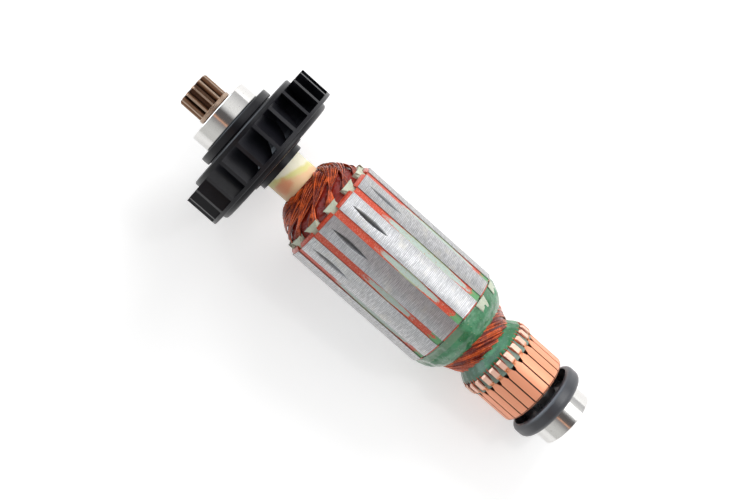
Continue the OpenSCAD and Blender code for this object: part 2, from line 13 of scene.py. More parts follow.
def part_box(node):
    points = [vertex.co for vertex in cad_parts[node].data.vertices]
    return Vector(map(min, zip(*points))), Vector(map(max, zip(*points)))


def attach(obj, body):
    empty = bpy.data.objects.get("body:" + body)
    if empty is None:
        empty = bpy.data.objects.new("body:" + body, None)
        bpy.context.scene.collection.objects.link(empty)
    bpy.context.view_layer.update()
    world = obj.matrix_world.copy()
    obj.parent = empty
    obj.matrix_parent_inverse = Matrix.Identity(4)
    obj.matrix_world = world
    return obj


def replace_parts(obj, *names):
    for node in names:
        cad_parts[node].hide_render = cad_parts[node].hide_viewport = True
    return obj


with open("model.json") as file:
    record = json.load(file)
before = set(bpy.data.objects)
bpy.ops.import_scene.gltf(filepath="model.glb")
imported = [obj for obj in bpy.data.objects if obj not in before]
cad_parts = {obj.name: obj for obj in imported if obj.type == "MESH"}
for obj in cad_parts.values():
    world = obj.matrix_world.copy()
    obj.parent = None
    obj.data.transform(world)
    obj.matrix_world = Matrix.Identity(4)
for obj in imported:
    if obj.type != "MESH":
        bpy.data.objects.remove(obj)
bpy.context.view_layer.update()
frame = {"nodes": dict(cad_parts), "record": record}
MM = 0.001
random.seed(7)


def span(node):
    """A CAD node's lowest and highest z, and its outside radius, in millimetres."""
    low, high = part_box(node)
    return low.z / MM, high.z / MM, max(high.x, high.y) / MM


# Millimetres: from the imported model, and the radius of the brush track
Z_CORE, Z_CORE_TOP, CORE_R = span("lamination_core")
Z_COLLAR = span("resin_collar")[0]
Z_NECK, Z_LEADS, _ = span("resin_neck")
Z_BARS, Z_BARS_TOP, _ = span("commutator_bar_01")
SLEEVE_R = span("insulating_sleeve")[2]
TRACK_R = 12.35
# The slots and bars, the angle from +X of the first of each, and the degrees between them
SLOTS = 12
SLOT_PHASE = 3
SLOT_PITCH = 360 / SLOTS
BARS = 24
BAR_PHASE = 12
BAR_PITCH = 360 / BARS

# ------------------------------------------------------------------ materials


class Nodes:
    """A node tree, with short ways to add to it."""

    def __init__(self, tree):
        self.nodes = tree.nodes
        self.links = tree.links

    def add(self, kind, *inputs, **props):
        """A new node. Its first inputs are set or linked in their order."""
        node = self.nodes.new("ShaderNode" + kind)
        for key, value in props.items():
            setattr(node, key, value)
        for socket, value in zip(node.inputs, inputs):
            self.set(socket, value)
        return node

    def set(self, socket, value):
        """Link a socket to another one, or give it a value."""
        if isinstance(value, bpy.types.NodeSocket):
            self.links.new(value, socket)
        elif socket.type == "RGBA" and len(value) == 3:
            socket.default_value = (*value, 1)
        else:
            socket.default_value = value

    def math(self, operation, a, b=0.0, clamp=False):
        return self.add("Math", a, b, operation=operation, use_clamp=clamp).outputs[0]

    def plus(self, a, b, clamp=False):
        return self.math("ADD", a, b, clamp)

    def minus(self, a, b):
        return self.math("SUBTRACT", a, b)

    def times(self, a, b):
        return self.math("MULTIPLY", a, b)

    def over(self, a, b):
        return self.math("DIVIDE", a, b)

    def step(self, value, low, high):
        """0 below low, 1 above high, and smooth between."""
        node = self.add("MapRange", value, low, high, interpolation_type="SMOOTHSTEP")
        return node.outputs[0]

    def band(self, value, low, full, full_end, high):
        """0 outside low and high, 1 from full to full_end, and smooth between."""
        return self.times(self.step(value, low, full), self.step(value, high, full_end))

    def scaled(self, value, low, high):
        """A value from 0 to 1, as one from low to high."""
        return self.add("MapRange", value, 0.0, 1.0, low, high).outputs[0]

    def mix(self, share, a, b):
        """Colour a, or colour b where the share is 1."""
        node = self.add("Mix", share, data_type="RGBA")
        self.set(node.inputs[6], a)
        self.set(node.inputs[7], b)
        return node.outputs[2]

    def mix_shaders(self, share, a, b):
        return self.add("MixShader", share, a, b).outputs[0]


class Paint(Nodes):
    """A node material for a piece. Lengths in its coordinates are millimetres."""

    def __init__(self, name, color, **sockets):
        self.mat = bpy.data.materials.new(name)
        self.mat.use_nodes = True
        super().__init__(self.mat.node_tree)
        self.shader = self.nodes["Principled BSDF"]
        self.set(self.shader.inputs["Base Color"], color)
        self.mat.diffuse_color = (*color, 1)
        for key, value in sockets.items():
            self.shader.inputs[key.replace("_", " ")].default_value = value
        coords = self.add("TexCoord").outputs["Object"]
        scale = self.add("VectorMath", coords, operation="SCALE")
        scale.inputs["Scale"].default_value = 1 / MM
        self.place = scale.outputs[0]

    def stretch(self, x, y, z):
        """The place with its axes multiplied, which draws a noise out along the others."""
        return self.add("VectorMath", self.place, (x, y, z), operation="MULTIPLY").outputs[0]

    def polar(self):
        """Radius, angle in radians from -Y towards +X, and height."""
        x, y, z = self.add("SeparateXYZ", self.place).outputs
        radius = self.math("POWER", self.plus(self.times(x, x), self.times(y, y)), 0.5)
        angle = self.math("ARCTAN2", x, self.times(y, -1.0))
        return radius, angle, z

    def noise(self, scale, detail=2.0, rough=0.5, place=None):
        node = self.add("TexNoise", place or self.place)
        node.inputs["Scale"].default_value = scale
        node.inputs["Detail"].default_value = detail
        node.inputs["Roughness"].default_value = rough
        return node.outputs[0]

    def color(self, value):
        self.links.new(value, self.shader.inputs["Base Color"])

    def rough(self, value, low, high):
        self.links.new(self.scaled(value, low, high), self.shader.inputs["Roughness"])

    def bump(self, height, distance):
        """Bump whose height of 1 stands out by distance millimetres."""
        node = self.add("Bump")
        node.inputs["Strength"].default_value = 1.0
        node.inputs["Distance"].default_value = distance * MM
        self.links.new(height, node.inputs["Height"])
        normal = self.shader.inputs["Normal"]
        if normal.links:
            self.links.new(normal.links[0].from_socket, node.inputs["Normal"])
        self.links.new(node.outputs[0], normal)


def turned_steel(name, color, rough, ring_scale=6.0, depth=0.004):
    """Ground or turned steel with fine rings round the axis and faint stains."""
    p = Paint(name, color, Metallic=1.0, Roughness=rough)
    rings = p.noise(ring_scale, 3, 0.7, p.stretch(0.02, 0.02, 1.0))
    stains = p.noise(0.35, 4, 0.6)
    specks = p.step(p.noise(2.2, 2, 0.5), 0.70, 0.74)
    tone = p.mix(p.scaled(rings, 0, 0.35), color, [c * 0.72 for c in color])
    tone = p.mix(p.scaled(stains, 0, 0.25), tone, [c * 0.8 for c in color])
    tone = p.mix(p.times(specks, 0.55), tone, (0.12, 0.10, 0.09))
    p.color(tone)
    p.rough(stains, rough - 0.07, rough + 0.1)
    p.bump(rings, depth)
    return p.mat


def black_plastic(name, color, rough, gloss):
    """Satin black moulding with a fine grain, dust and paler broad patches."""
    p = Paint(name, color, Roughness=rough, Specular_IOR_Level=gloss)
    fine = p.noise(9, 3, 0.6)
    broad = p.noise(0.25, 3, 0.6)
    tone = p.mix(broad, color, [min(1, c * 1.7 + 0.004) for c in color])
    dust = p.step(p.noise(3.5, 2, 0.5), 0.73, 0.76)
    tone = p.mix(p.times(dust, 0.12), tone, (0.35, 0.34, 0.32))
    p.color(tone)
    p.rough(broad, rough - 0.06, rough + 0.1)
    p.bump(fine, 0.006)
    return p.mat


def make_laminations():
    """Punched sheets, turned to size: a line for every sheet, scratches and resin haze."""
    sheet_t = 0.5
    p = Paint("laminations", (0.58, 0.58, 0.59), Metallic=1.0, Roughness=0.36)
    radius, _, z = p.polar()
    sheet = p.math("FRACT", p.over(z, sheet_t))
    seam = p.math("ABSOLUTE", p.minus(sheet, 0.5))
    line = p.step(seam, 0.26, 0.5)
    strength = p.noise(1.1, 2, 0.5, p.stretch(0.05, 0.05, 1.0))
    scratch = p.noise(4.5, 3, 0.75, p.stretch(0.10, 0.10, 1.0))
    streak = p.noise(2.2, 3, 0.7, p.stretch(1.0, 1.0, 0.06))
    dots = p.noise(1.8, 3, 0.6)
    dark = p.times(line, p.scaled(strength, 0.15, 1.0))
    tone = p.mix(p.step(scratch, 0.35, 0.65), (0.64, 0.64, 0.65), (0.38, 0.38, 0.39))
    tone = p.mix(p.times(p.step(streak, 0.45, 0.7), 0.4), tone, (0.36, 0.36, 0.36))
    tone = p.mix(p.times(dark, p.scaled(dots, 0.4, 1.0)), tone, (0.06, 0.06, 0.065))
    haze = p.times(p.step(p.noise(0.25, 4, 0.65), 0.50, 0.70), 0.35)
    tone = p.mix(haze, tone, (0.60, 0.57, 0.48))
    # Painted shade: the steel is darker in the balance grooves, the slots and everywhere else
    # below the core's outside
    painted_groove_shade = p.step(radius, CORE_R - 0.12, CORE_R - 0.35)
    tone = p.mix(p.times(painted_groove_shade, 0.6), tone, (0.14, 0.14, 0.145))
    p.color(tone)
    p.rough(dots, 0.24, 0.46)
    p.bump(line, -0.04)
    p.bump(scratch, 0.01)
    p.bump(streak, 0.008)
    return p.mat


def make_red_epoxy():
    """Red powder coating, glossy and speckled, with painted highlights on the raised specks and
    painted shade between them.
    """
    p = Paint("red_epoxy", (0.70, 0.085, 0.035), Roughness=0.24, Coat_Weight=0.35,
              Coat_Roughness=0.12)
    specks = p.noise(2.6, 3, 0.65)
    broad = p.noise(0.35, 2, 0.5)
    tone = p.mix(p.scaled(broad, 0, 1), (0.64, 0.070, 0.026), (0.44, 0.034, 0.014))
    # Painted highlights: paler colour on the raised specks
    tone = p.mix(p.times(p.step(specks, 0.52, 0.66), 0.5), tone, (0.72, 0.26, 0.16))
    # Painted shade: darker colour in the low places between the specks
    tone = p.mix(p.times(p.step(specks, 0.44, 0.34), 0.6), tone, (0.25, 0.03, 0.02))
    p.color(tone)
    p.rough(specks, 0.2, 0.4)
    p.bump(specks, 0.05)
    p.bump(p.noise(0.7, 2, 0.5), 0.12)
    return p.mat


def make_wedges():
    """Pale blue-green strip, under red coating at both ends and green resin at the rear one."""
    p = Paint("wedge_strip", (0.55, 0.68, 0.60), Roughness=0.3, Coat_Weight=0.4)
    _, angle, z = p.polar()
    # Whole numbers between the slots, so that the middle of a slot is at a half
    from_slot = p.minus(angle, math.radians(SLOT_PHASE))
    slot = p.plus(p.over(from_slot, math.radians(SLOT_PITCH)), 100.5)
    off = p.math("ABSOLUTE", p.minus(p.math("FRACT", slot), 0.5))
    # Both coatings end at a place of each slot's own, and creep further in along its sides
    own = p.add("TexWhiteNoise", noise_dimensions="1D")
    p.set(own.inputs["W"], p.plus(p.math("FLOOR", slot), 0.37))
    own_shift = p.scaled(own.outputs["Value"], -4.5, 4.5)
    wander = p.scaled(p.noise(1.1, 4, 0.7, p.stretch(1, 1, 0.5)), -5.0, 5.0)
    creep = p.plus(p.times(p.step(off, 0.05, 0.13), 9.0), own_shift)
    rough_z = p.plus(z, wander)
    front_z = p.plus(rough_z, creep)
    rear_z = p.minus(rough_z, creep)
    fine = p.noise(1.8, 3, 0.6)
    pale = p.mix(p.scaled(fine, 0, 1), (0.55, 0.64, 0.60), (0.34, 0.44, 0.38))
    pale = p.mix(p.times(p.step(off, 0.07, 0.12), 0.7), pale, (0.42, 0.44, 0.12))
    specks = p.step(p.noise(2.8, 3, 0.65), 0.5, 0.64)
    blots = p.step(p.noise(1.4, 3, 0.7), 0.60, 0.66)
    pale = p.mix(p.times(blots, 0.6), pale, (0.50, 0.16, 0.07))
    # Painted highlights: the red coating is paler on the raised specks
    red = p.mix(p.times(specks, 0.6), (0.60, 0.060, 0.024), (0.76, 0.30, 0.18))
    tone = p.mix(p.step(front_z, Z_CORE_TOP - 17.5, Z_CORE_TOP - 13.5), pale, red)
    tone = p.mix(p.step(rear_z, Z_CORE + 8.5, Z_CORE + 6.0), tone, red)
    resin = p.step(rough_z, Z_CORE + 3.4, Z_CORE + 2.4)
    tone = p.mix(resin, tone, (0.13, 0.36, 0.15))
    p.color(tone)
    p.rough(fine, 0.2, 0.4)
    p.bump(fine, 0.05)
    p.bump(specks, 0.04)
    return p.mat


def make_liner():
    """Varnished slot paper, pale green, with stains in spots."""
    p = Paint("liner_paper", (0.60, 0.66, 0.50), Roughness=0.5, Subsurface_Weight=0.15,
              Subsurface_Radius=(0.0006, 0.0006, 0.0004))
    broad = p.noise(0.45, 3, 0.6)
    fine = p.noise(3.5, 3, 0.7)
    tone = p.mix(broad, (0.60, 0.65, 0.52), (0.42, 0.48, 0.37))
    tone = p.mix(p.times(p.step(fine, 0.50, 0.66), 0.45), tone, (0.34, 0.24, 0.13))
    p.color(tone)
    p.rough(broad, 0.38, 0.6)
    p.bump(fine, 0.03)
    return p.mat


def make_wire():
    """Enamelled copper wire under glossy red-brown varnish. Every strand has its own tint."""
    p = Paint("enamelled_copper", (0.38, 0.05, 0.015), Metallic=0.15, Roughness=0.28,
              Specular_IOR_Level=0.3, Coat_Weight=0.45, Coat_Roughness=0.05)
    broad = p.noise(0.30, 3, 0.6)
    fine = p.noise(2.2, 3, 0.6)
    tint = p.add("Attribute", attribute_name="tint").outputs["Fac"]
    patches = p.scaled(p.step(broad, 0.38, 0.66), 0.0, 0.65)
    share = p.plus(patches, p.minus(tint, 0.5), clamp=True)
    tone = p.mix(share, (0.14, 0.009, 0.005), (0.84, 0.14, 0.025))
    tone = p.mix(p.times(p.step(fine, 0.55, 0.72), 0.3), tone, (0.85, 0.22, 0.05))
    p.color(tone)
    p.rough(fine, 0.18, 0.38)
    p.bump(fine, 0.03)
    return p.mat


def make_varnish():
    """The dark red varnished mass under and between the wires."""
    p = Paint("varnish", (0.14, 0.012, 0.007), Roughness=0.18, Specular_IOR_Level=0.2,
              Coat_Weight=0.12, Coat_Roughness=0.05)
    broad = p.noise(0.5, 4, 0.65)
    tone = p.mix(broad, (0.07, 0.004, 0.003), (0.36, 0.026, 0.012))
    p.color(tone)
    p.rough(broad, 0.1, 0.3)
    p.bump(p.noise(1.6, 4, 0.7), 0.12)
    return p.mat


def make_green_resin(name, coat):
    """Glossy green casting resin: darker where thick, a grey film by the core and on the neck."""
    p = Paint(name, (0.07, 0.30, 0.14), Roughness=0.25, Specular_IOR_Level=0.3, Coat_Weight=coat,
              Coat_Roughness=0.04, Subsurface_Weight=0.1,
              Subsurface_Radius=(0.0004, 0.0012, 0.0006))
    _, angle, z = p.polar()
    broad = p.noise(0.22, 3, 0.6)
    fine = p.noise(1.3, 3, 0.6)
    tone = p.mix(p.step(broad, 0.40, 0.62), (0.022, 0.145, 0.055), (0.065, 0.250, 0.120))
    tone = p.mix(p.times(p.step(fine, 0.60, 0.72), 0.35), tone, (0.20, 0.42, 0.28))
    # Film on the collar beside the core, mostly on the side towards -X
    left = p.step(p.plus(angle, p.scaled(fine, -0.1, 0.1)), 0.0, -0.12)
    film = p.times(p.step(z, Z_CORE - 3.3, Z_CORE - 2.9), p.scaled(left, 0.15, 0.75))
    tone = p.mix(film, tone, (0.17, 0.27, 0.18))
    # The same side of the neck is grey
    neck = p.step(z, Z_LEADS + 0.8, Z_LEADS + 0.4)
    grey = p.times(neck, p.step(p.plus(angle, p.scaled(broad, -0.2, 0.2)), -0.30, -0.38))
    tone = p.mix(p.times(grey, 0.8), tone, (0.11, 0.20, 0.15))
    # A dark patch in front, beside the hooks
    by_hooks = p.step(p.plus(z, p.scaled(fine, -0.5, 0.5)), Z_NECK + 2.9, Z_NECK + 2.0)
    patch = p.times(by_hooks, p.band(angle, -0.3, -0.2, 0.15, 0.3))
    tone = p.mix(p.times(patch, 0.8), tone, (0.008, 0.075, 0.025))
    specks = p.step(p.noise(1.9, 2, 0.5), 0.70, 0.74)
    tone = p.mix(p.times(specks, 0.8), tone, (0.62, 0.60, 0.36))
    p.color(tone)
    p.rough(broad, 0.15, 0.38)
    p.bump(p.noise(0.5, 2, 0.5), 0.12)
    p.bump(fine, 0.02)
    return p.mat


def make_bar_copper():
    """Turned copper of the brush track, hooks a little paler, brown near the hooks."""
    p = Paint("commutator_copper", (0.90, 0.40, 0.25), Metallic=0.4, Roughness=0.42)
    radius, _, z = p.polar()
    from_hook = p.minus(z, Z_BARS_TOP)
    rings = p.noise(5.0, 3, 0.7, p.stretch(0.03, 0.03, 1.0))
    broad = p.noise(0.3, 3, 0.6)
    tone = p.mix(p.scaled(rings, 0.0, 0.6), (0.98, 0.41, 0.24), (0.88, 0.33, 0.19))
    tone = p.mix(p.scaled(broad, 0, 0.3), tone, (0.98, 0.48, 0.30))
    # Carbon dust on the sides of the undercuts
    below = p.step(radius, TRACK_R - 0.13, TRACK_R - 0.27)
    groove = p.times(below, p.step(z, Z_BARS + 0.3, Z_BARS + 0.6))
    tone = p.mix(p.times(groove, 0.92), tone, (0.03, 0.010, 0.006))
    stain = p.step(p.noise(1.1, 3, 0.6), 0.42, 0.6)
    near = p.times(p.band(from_hook, -5.2, -4.3, -3.6, -2.9), stain)
    tone = p.mix(near, tone, (0.55, 0.17, 0.05))
    hook = p.step(from_hook, -3.5, -2.9)
    tone = p.mix(p.times(hook, 0.75), tone, (0.95, 0.66, 0.54))
    p.color(tone)
    p.rough(rings, 0.34, 0.5)
    p.bump(rings, 0.008)
    return p.mat


def make_commutator_resin():
    """Moulding between the bars: dark in the undercuts, grey-green between the hooks."""
    p = Paint("commutator_resin", (0.05, 0.03, 0.02), Roughness=0.5)
    from_hook = p.minus(p.polar()[2], Z_BARS_TOP)
    fine = p.noise(1.6, 3, 0.6)
    hooks = p.step(from_hook, -5.6, -5.0)
    notch = p.band(from_hook, -7.5, -7.0, -5.6, -5.0)
    tone = p.mix(fine, (0.014, 0.006, 0.004), (0.035, 0.014, 0.008))
    green = p.mix(fine, (0.06, 0.13, 0.09), (0.30, 0.38, 0.33))
    tone = p.mix(hooks, tone, green)
    tone = p.mix(notch, tone, (0.004, 0.004, 0.004))
    p.color(tone)
    p.rough(fine, 0.3, 0.6)
    p.bump(fine, 0.05)
    return p.mat


def make_sleeve():
    """Cream sleeve, stained yellow and salmon by resin that crept out of the head."""
    p = Paint("cream_plastic", (0.86, 0.80, 0.60), Roughness=0.4, Subsurface_Weight=0.15,
              Subsurface_Radius=(0.002, 0.0015, 0.0008))
    # Heights in millimetres and an angle in radians
    stain_z = 114.8
    lean = 2.4
    blob_z = 113.4
    blob_angle = -0.62
    _, angle, z = p.polar()
    wander = p.scaled(p.noise(0.3, 3, 0.55), -1.2, 1.2)
    # The stain reaches further from the head on the side towards -X
    edge = p.minus(stain_z, p.times(p.math("SINE", angle), lean))
    out = p.minus(p.plus(z, wander), edge)
    ring = p.band(out, -2.2, -0.6, 0.0, 1.1)
    inside = p.step(out, -0.4, -1.8)
    fine = p.noise(1.2, 3, 0.6)
    tone = p.mix(fine, (0.92, 0.88, 0.72), (0.82, 0.78, 0.60))
    tone = p.mix(p.times(inside, 0.8), tone, (0.84, 0.50, 0.24))
    tone = p.mix(p.times(ring, 0.8), tone, (0.72, 0.66, 0.20))
    along = p.over(p.minus(z, blob_z), 2.5)
    across = p.over(p.minus(angle, blob_angle), 0.50)
    far = p.math("POWER", p.plus(p.times(along, along), p.times(across, across)), 0.5)
    blob = p.step(p.plus(far, p.scaled(p.noise(0.6, 3, 0.6), -0.45, 0.45)), 1.3, 0.5)
    tone = p.mix(p.times(blob, 0.85), tone, (0.80, 0.30, 0.15))
    p.color(tone)
    p.rough(fine, 0.32, 0.48)
    p.bump(p.noise(3, 3, 0.6), 0.02)
    return p.mat


def make_pinion():
    """Heat-tinted, oiled steel: brown in the gaps, worn brighter over the teeth."""
    p = Paint("oxidised_steel", (0.30, 0.18, 0.11), Metallic=0.9, Roughness=0.38)
    tip_r = 5.65
    radius = p.polar()[0]
    broad = p.noise(0.8, 3, 0.6)
    lines = p.noise(4.0, 3, 0.7, p.stretch(1.0, 1.0, 0.08))
    tone = p.mix(broad, (0.30, 0.17, 0.10), (0.20, 0.11, 0.065))
    worn = p.step(radius, tip_r - 0.3, tip_r - 0.03)
    tone = p.mix(p.times(worn, 0.65), tone, (0.52, 0.40, 0.31))
    deep = p.step(radius, tip_r - 1.05, tip_r - 1.65)
    tone = p.mix(p.times(deep, 0.8), tone, (0.06, 0.03, 0.02))
    p.color(tone)
    p.rough(lines, 0.26, 0.5)
    p.bump(lines, 0.02)
    return p.mat


def make_cage():
    """Brown moulded cage of a ball bearing."""
    p = Paint("cage_polymer", (0.50, 0.36, 0.22), Roughness=0.5)
    fine = p.noise(4, 3, 0.6)
    p.color(p.mix(fine, (0.52, 0.38, 0.24), (0.44, 0.31, 0.18)))
    p.rough(fine, 0.4, 0.6)
    p.bump(fine, 0.02)
    return p.mat


materials = {
    "shaft_steel": turned_steel("shaft_steel", (0.62, 0.62, 0.63), 0.28),
    "oxidised_steel": make_pinion(),
    "black_nylon": black_plastic("black_nylon", (0.004, 0.004, 0.006), 0.32, 0.35),
    "black_plastic": black_plastic("black_plastic", (0.022, 0.024, 0.030), 0.36, 0.8),
    "cream_plastic": make_sleeve(),
    "laminations": make_laminations(),
    "red_epoxy": make_red_epoxy(),
    "liner_paper": make_liner(),
    "wedge_strip": make_wedges(),
    "enamelled_copper": make_wire(),
    "green_resin": make_green_resin("green_resin", 0.6),
    "commutator_resin": make_commutator_resin(),
    "bearing_steel": turned_steel("bearing_steel", (0.76, 0.75, 0.73), 0.14, 8.0, 0.0004),
    "ball_steel": turned_steel("ball_steel", (0.75, 0.75, 0.76), 0.12, 3.0, 0.001),
    "cage_polymer": make_cage(),
    "shield_steel": turned_steel("shield_steel", (0.55, 0.55, 0.56), 0.3, 5.0, 0.004),
    "commutator_copper": make_bar_copper(),
}
varnish = make_varnish()


def dress(obj, material):
    """Give a piece one material."""
    obj.data.materials.clear()
    obj.data.materials.append(material)


slot_of = {s["node"]: s["material_slot"] for s in frame["record"]["subparts"]}
for node, obj in frame["nodes"].items():
    dress(obj, materials[slot_of[node]])
# The dust ring is as dark as the fan, and the guard ring is greyer
dress(frame["nodes"]["dust_ring"], materials["black_nylon"])

# ------------------------------------------------------------------ modelled pieces


def polar_point(radius, degrees, z):
    """A point in millimetres; 0 degrees is +X and 90 is +Y."""
    a = math.radians(degrees)
    return np.array((radius * math.cos(a), radius * math.sin(a), z))


def add_piece(name, vertices, faces, material, tints=None):
    """A smooth-shaded piece on the rotor, from vertices in millimetres."""
    mesh = bpy.data.meshes.new(name)
    mesh.from_pydata((np.asarray(vertices) * MM).tolist(), [], faces)
    shell = bmesh.new()
    shell.from_mesh(mesh)
    bmesh.ops.recalc_face_normals(shell, faces=shell.faces)
    shell.to_mesh(mesh)
    shell.free()
    mesh.shade_smooth()
    if tints is not None:
        layer = mesh.attributes.new("tint", "FLOAT", "POINT")
        layer.data.foreach_set("value", tints)
    obj = bpy.data.objects.new(name, mesh)
    bpy.context.scene.collection.objects.link(obj)
    dress(obj, material)
    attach(obj, "rotor")
    return obj


def smooth_path(points, steps=4):
    """Points of a smooth line through the given ones."""
    p = np.vstack([2 * points[0] - points[1], points, 2 * points[-1] - points[-2]])
    t = np.linspace(0, 1, steps, endpoint=False)[:, None]
    parts = []
    for a, b, c, d in zip(p[:-3], p[1:-2], p[2:-1], p[3:]):
        parts.append(0.5 * (2 * b + t * (c - a) + t ** 2 * (2 * a - 5 * b + 4 * c - d)
                            + t ** 3 * (3 * b - a - 3 * c + d)))
    return np.vstack(parts + [points[-1][None]])


def tube(path, radius, sides=6):
    """Vertices and faces of a round wire with closed ends."""
    along = np.gradient(path, axis=0)
    along /= np.linalg.norm(along, axis=1)[:, None]
    outward = path * (1, 1, 0)
    across = np.cross(along, outward)
    across /= np.linalg.norm(across, axis=1)[:, None]
    normal = np.cross(across, along)
    turn = np.linspace(0, 2 * np.pi, sides, endpoint=False)
    rings = (path[:, None] + radius * (np.cos(turn)[None, :, None] * normal[:, None]
                                       + np.sin(turn)[None, :, None] * across[:, None]))
    n = len(path)
    faces = [(i * sides + j, i * sides + (j + 1) % sides, (i + 1) * sides + (j + 1) % sides,
              (i + 1) * sides + j) for i in range(n - 1) for j in range(sides)]
    faces.append(tuple(range(sides)))
    faces.append(tuple((n - 1) * sides + j for j in range(sides)))
    return rings.reshape(-1, 3), faces


def add_wires(name, wires):
    """One piece out of many wires, each given as a path, a radius and a tint."""
    vertices, faces, tints = [], [], []
    count = 0
    for path, radius, tint in wires:
        v, f = tube(path, radius)
        vertices.append(v)
        faces += [tuple(i + count for i in face) for face in f]
        tints += [tint] * len(v)
        count += len(v)
    add_piece(name, np.vstack(vertices), faces, materials["enamelled_copper"],
              tints)


def lumps(point, size, seed=0.0):
    """Smooth noise from about -1 to 1, for lumps of the given size in millimetres."""
    return noise.noise(Vector(point) / size + Vector((seed, seed * 0.7, seed * 1.3)))


def add_lathed(name, outline, inner, material, bulge):
    """A closed ring whose outside follows an outline of (radius, z), moved out by bulge()."""
    around = 240
    rows = []
    outline = smooth_path(np.array([(r, z, 0.0) for r, z in outline]), 6)
    last = len(outline) - 1
    for i, (r, z, _) in enumerate(outline):
        ends = min(1.0, 4.0 * min(i, last - i) / last)
        row = []
        for k in range(around):
            degrees = 360 * k / around
            point = polar_point(r, degrees, z)
            row.append(polar_point(r + bulge(point, degrees, z) * ends, degrees, z))
        rows.append(row)
    for r, z in inner:
        rows.append([polar_point(r, 360 * k / around, z) for k in range(around)])
    vertices = [v for row in rows for v in row]
    n = len(rows)
    faces = []
    for i in range(n):
        a = i * around
        b = (i + 1) % n * around
        for k in range(around):
            m = (k + 1) % around
            faces.append((a + k, a + m, b + m, b + k))
    return add_piece(name, vertices, faces, material)


# The head at the fan end: radius against height above the core
HEAD = [(15.1, 2.0), (14.7, 3.2), (13.8, 4.8), (12.0, 7.6), (10.6, 9.4), (8.9, 10.7),
        (7.6, 11.6), (6.95, 12.2)]
# Strands in a coil, the degrees between them, and how much wider round each of them goes
STRANDS = 12
STRAND_PITCH = 1.45
STRAND_STEP = 0.42
# Radii of the wires
HEAD_WIRE = 0.21
LEAD_WIRE = 0.3
END_WIRE = 0.2


def on_head(radius):
    """Height of the head's surface above the core at a radius."""
    return float(np.interp(radius, [r for r, _ in HEAD[::-1]], [z for _, z in HEAD[::-1]]))


def head_strand(slot, row, closest):
    """A strand from one slot round the sleeve to the fifth slot on, diving under the others."""
    start = SLOT_PHASE + SLOT_PITCH * slot
    reach = 5 * SLOT_PITCH
    side = ((STRANDS - 1) / 2 - row) * STRAND_PITCH
    widest = 14.9
    # Every other strand lies on its neighbours
    layer = 0.22 * (row % 2)
    points = [polar_point(widest - 0.1 * row, start + side * 0.7, Z_CORE_TOP + 0.4),
              polar_point(15.3 - 0.08 * row, start + side * 0.9, Z_CORE_TOP + 2.2)]
    for t in np.linspace(0.06, 0.94, 14):
        sag = abs(2 * t - 1) ** 1.45
        radius = closest + (widest - closest) * sag
        dive = min(1.0, max(0.0, (t - 0.38) / 0.3))
        depth = 0.30 + layer - 1.5 * dive * dive * (3 - 2 * dive)
        wave = 0.13 * lumps((radius, 30 * t, slot * 7.0 + row * 0.2), 4.0)
        degrees = start + side * (1 - 2 * t) + reach * t
        z = Z_CORE_TOP + on_head(radius) + depth * 0.6 + wave
        points.append(polar_point(radius + depth * 0.75 + wave, degrees, z))
    points.append(polar_point(13.0 - 0.1 * row, start + reach - side, Z_CORE_TOP + 2.2))
    points.append(polar_point(12.4 - 0.1 * row, start + reach - side, Z_CORE_TOP + 0.4))
    return smooth_path(np.array(points), 4)


def add_head_wires():
    """The head's coils, one for each slot, with their strands side by side."""
    wires = []
    innermost = 7.3
    for slot in range(SLOTS):
        shift = random.uniform(-0.25, 0.25)
        for row in range(STRANDS):
            closest = innermost + shift + STRAND_STEP * row + random.uniform(-0.07, 0.07)
            tint = min(1, max(0, random.gauss(0.6, 0.3)))
            wires.append((head_strand(slot, row, closest), HEAD_WIRE, tint))
    add_wires("head_wires", wires)


def add_head_varnish():
    """Varnished mass that fills the gaps between the coils beside the core."""
    outline = [(r - 0.35, Z_CORE_TOP + z - 0.25) for r, z in [(15.3, 1.5)] + HEAD]
    inner = [(SLEEVE_R - 0.3, Z_CORE_TOP + 11.9), (SLEEVE_R - 0.3, Z_CORE_TOP + 1.25)]

    def bulge(point, degrees, z):
        return 0.35 * lumps(point, 1.6) + 0.2 * lumps(point, 0.7, 3.0)

    add_lathed("head_varnish", outline, inner, varnish, bulge)


# The leads: radius against height, from inside the neck to inside the collar
LEADS = [(10.2, Z_NECK + 2.4), (10.25, Z_LEADS), (10.7, Z_LEADS + 1.3), (12.1, Z_LEADS + 4.0),
         (12.7, Z_COLLAR), (12.9, Z_COLLAR + 1.2)]


def leads_radius(z):
    """Radius of the layer of leads at a height."""
    return float(np.interp(z, [h for _, h in LEADS], [r for r, _ in LEADS]))


def add_lead_wires():
    """Two leads for every bar, wrapped round the waist on their way to the coils."""
    wires = []
    low, high = LEADS[0][1], LEADS[-1][1]
    for k in range(2 * BARS):
        start = BAR_PHASE + BAR_PITCH / 2 * k + random.uniform(-1.2, 1.2)
        wrap = 88 + random.uniform(-9, 9)
        tint = min(1, max(0, random.gauss(0.74, 0.22)))
        lift = random.uniform(-0.05, 0.3)
        points = []
        for t in np.linspace(0, 1, 10):
            z = low + (high - low) * (0.75 * t + 0.25 * t * t)
            wave = 0.22 * lumps((k * 0.9, 6 * t, 2.0), 1.6)
            points.append(polar_point(leads_radius(z) + lift + wave, start - wrap * t, z))
        wires.append((smooth_path(np.array(points), 4), LEAD_WIRE, tint))
    add_wires("lead_wires", wires)


